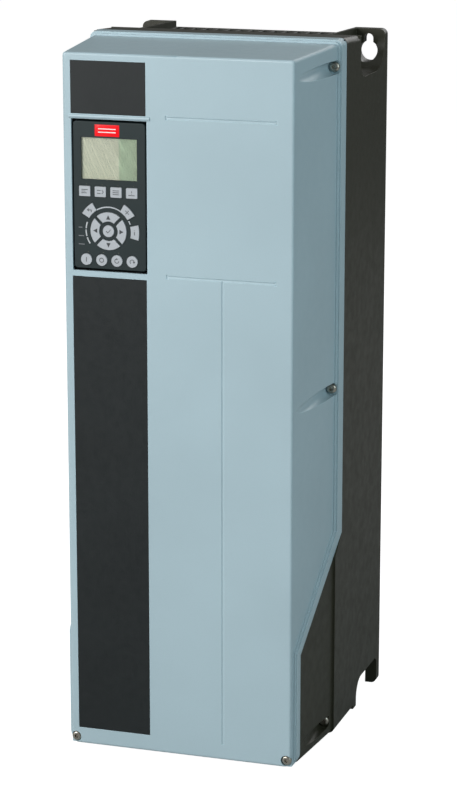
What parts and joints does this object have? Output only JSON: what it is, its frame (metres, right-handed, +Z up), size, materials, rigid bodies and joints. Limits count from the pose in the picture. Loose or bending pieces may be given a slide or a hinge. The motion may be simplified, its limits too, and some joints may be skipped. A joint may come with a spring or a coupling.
{
  "type": "variable frequency drive",
  "caption": "Wall-mounted variable frequency drive: tall drafted front cover over a finned rear housing with ears, a keypad panel with display, and a cable-entry box below.",
  "frame": {"origin": "on the wall plane, on the centre line, level with the feet of the lower ears", "axes": "+Z up, +X to the right as seen from the front, -Y out of the front cover; the wall is at Y = 0"},
  "size_m": [0.242, 0.2612, 0.6559],
  "materials": {
    "cover_paint": "light blue-grey powder paint on die-cast aluminium, satin",
    "housing_paint": "dark olive-grey powder paint on die-cast aluminium, satin",
    "sink_aluminium": "extruded, mill finish",
    "zinc_steel": "zinc-plated sheet steel",
    "screw_steel": "stainless steel, pan head",
    "copper": "tinned copper bar",
    "dark_plastic": "black glass-filled plastic, fine texture",
    "panel_plastic": "dark grey moulded plastic, fine texture",
    "inlay_film": "dark grey printed film",
    "key_plastic": "light grey rubberised keys",
    "plug_plastic": "black nylon",
    "display_glass": "clear window, gloss",
    "display_face": "pale yellow-green unlit display",
    "badge_red": "red printed label, plain",
    "lamp_lens": "frosted lamp lens",
    "board_green": "circuit board with green solder mask",
    "component_black": "moulded component",
    "capacitor_sleeve": "sleeved electrolytic capacitor",
    "choke_iron": "varnished laminated core and winding",
    "terminal_plastic": "grey terminal plastic",
    "shield_clear": "clear polycarbonate",
    "gasket_foam": "foamed-in-place gasket"
  },
  "bodies": {
    "chassis": {"rear_housing": "housing_paint", "heat_sink": "sink_aluminium", "top_air_grille": "dark_plastic", "channel_fan_frames": "dark_plastic", "fan_guard": "zinc_steel", "lower_housing": "housing_paint", "lower_housing_screws": "screw_steel", "gland_plate": "zinc_steel", "gland_plate_screws": "screw_steel", "blanking_plugs": "plug_plastic", "earth_rail": "zinc_steel", "cable_clamps": "zinc_steel", "power_card": "board_green", "power_card_spacers": "zinc_steel", "dc_capacitors": "capacitor_sleeve", "rectifier_module": "component_black", "inverter_module": "component_black", "dc_chokes": "choke_iron", "busbars": "copper", "current_sensors": "component_black", "filter_card": "board_green", "mains_terminals": "terminal_plastic", "motor_terminals": "terminal_plastic", "touch_shield": "shield_clear", "control_cassette": "dark_plastic", "control_card": "board_green", "control_terminals": "terminal_plastic", "inner_fan_frame": "dark_plastic"},
    "cover": {"front_cover": "cover_paint", "upper_inlay": "inlay_film", "lower_inlay": "inlay_film", "cover_screws": "screw_steel", "cover_gasket": "gasket_foam", "panel_cradle": "dark_plastic"},
    "panel": {"panel_front_shell": "panel_plastic", "panel_rear_shell": "panel_plastic", "display_window": "display_glass", "display_module": "display_face", "panel_board": "board_green", "badge_plate": "badge_red", "status_lamps": "lamp_lens"},
    "fan_left": {"channel_rotor_left": "dark_plastic"},
    "fan_right": {"channel_rotor_right": "dark_plastic"},
    "fan_inner": {"inner_rotor": "dark_plastic"},
    "key_status": {"key_status": "key_plastic"},
    "key_quick_menu": {"key_quick_menu": "key_plastic"},
    "key_main_menu": {"key_main_menu": "key_plastic"},
    "key_alarm_log": {"key_alarm_log": "key_plastic"},
    "key_ok": {"key_ok": "key_plastic"},
    "key_right": {"key_right": "key_plastic"},
    "key_up": {"key_up": "key_plastic"},
    "key_left": {"key_left": "key_plastic"},
    "key_down": {"key_down": "key_plastic"},
    "key_back": {"key_back": "key_plastic"},
    "key_cancel": {"key_cancel": "key_plastic"},
    "key_info": {"key_info": "key_plastic"},
    "key_hand_on": {"key_hand_on": "key_plastic"},
    "key_off": {"key_off": "key_plastic"},
    "key_auto_on": {"key_auto_on": "key_plastic"},
    "key_reset": {"key_reset": "key_plastic"}
  },
  "joints": [
    {"name": "cover_removal", "type": "slide", "parent": "chassis", "child": "cover", "axis": [0, -1, 0], "range_m": [0, 0.2]},
    {"name": "panel_removal", "type": "slide", "parent": "cover", "child": "panel", "axis": [0, -1, 0], "range_m": [0, 0.06]},
    {"name": "fan_left_spin", "type": "hinge", "parent": "chassis", "child": "fan_left", "pos_m": [-0.0455, -0.049, 0.077], "axis": [0, 0, 1], "continuous": true},
    {"name": "fan_right_spin", "type": "hinge", "parent": "chassis", "child": "fan_right", "pos_m": [0.0455, -0.049, 0.077], "axis": [0, 0, 1], "continuous": true},
    {"name": "fan_inner_spin", "type": "hinge", "parent": "chassis", "child": "fan_inner", "pos_m": [0.06, -0.166, 0.62], "axis": [0, 0, 1], "continuous": true},
    {"name": "key_status_press", "type": "slide", "parent": "panel", "child": "key_status", "axis": [0, 1, 0], "range_m": [0, 0.001], "stiffness_N_per_m": 600, "springref_m": -0.0005},
    {"name": "key_quick_menu_press", "type": "slide", "parent": "panel", "child": "key_quick_menu", "axis": [0, 1, 0], "range_m": [0, 0.001], "stiffness_N_per_m": 600, "springref_m": -0.0005},
    {"name": "key_main_menu_press", "type": "slide", "parent": "panel", "child": "key_main_menu", "axis": [0, 1, 0], "range_m": [0, 0.001], "stiffness_N_per_m": 600, "springref_m": -0.0005},
    {"name": "key_alarm_log_press", "type": "slide", "parent": "panel", "child": "key_alarm_log", "axis": [0, 1, 0], "range_m": [0, 0.001], "stiffness_N_per_m": 600, "springref_m": -0.0005},
    {"name": "key_ok_press", "type": "slide", "parent": "panel", "child": "key_ok", "axis": [0, 1, 0], "range_m": [0, 0.001], "stiffness_N_per_m": 600, "springref_m": -0.0005},
    {"name": "key_right_press", "type": "slide", "parent": "panel", "child": "key_right", "axis": [0, 1, 0], "range_m": [0, 0.001], "stiffness_N_per_m": 600, "springref_m": -0.0005},
    {"name": "key_up_press", "type": "slide", "parent": "panel", "child": "key_up", "axis": [0, 1, 0], "range_m": [0, 0.001], "stiffness_N_per_m": 600, "springref_m": -0.0005},
    {"name": "key_left_press", "type": "slide", "parent": "panel", "child": "key_left", "axis": [0, 1, 0], "range_m": [0, 0.001], "stiffness_N_per_m": 600, "springref_m": -0.0005},
    {"name": "key_down_press", "type": "slide", "parent": "panel", "child": "key_down", "axis": [0, 1, 0], "range_m": [0, 0.001], "stiffness_N_per_m": 600, "springref_m": -0.0005},
    {"name": "key_back_press", "type": "slide", "parent": "panel", "child": "key_back", "axis": [0, 1, 0], "range_m": [0, 0.001], "stiffness_N_per_m": 600, "springref_m": -0.0005},
    {"name": "key_cancel_press", "type": "slide", "parent": "panel", "child": "key_cancel", "axis": [0, 1, 0], "range_m": [0, 0.001], "stiffness_N_per_m": 600, "springref_m": -0.0005},
    {"name": "key_info_press", "type": "slide", "parent": "panel", "child": "key_info", "axis": [0, 1, 0], "range_m": [0, 0.001], "stiffness_N_per_m": 600, "springref_m": -0.0005},
    {"name": "key_hand_on_press", "type": "slide", "parent": "panel", "child": "key_hand_on", "axis": [0, 1, 0], "range_m": [0, 0.001], "stiffness_N_per_m": 600, "springref_m": -0.0005},
    {"name": "key_off_press", "type": "slide", "parent": "panel", "child": "key_off", "axis": [0, 1, 0], "range_m": [0, 0.001], "stiffness_N_per_m": 600, "springref_m": -0.0005},
    {"name": "key_auto_on_press", "type": "slide", "parent": "panel", "child": "key_auto_on", "axis": [0, 1, 0], "range_m": [0, 0.001], "stiffness_N_per_m": 600, "springref_m": -0.0005},
    {"name": "key_reset_press", "type": "slide", "parent": "panel", "child": "key_reset", "axis": [0, 1, 0], "range_m": [0, 0.001], "stiffness_N_per_m": 600, "springref_m": -0.0005}
  ]
}
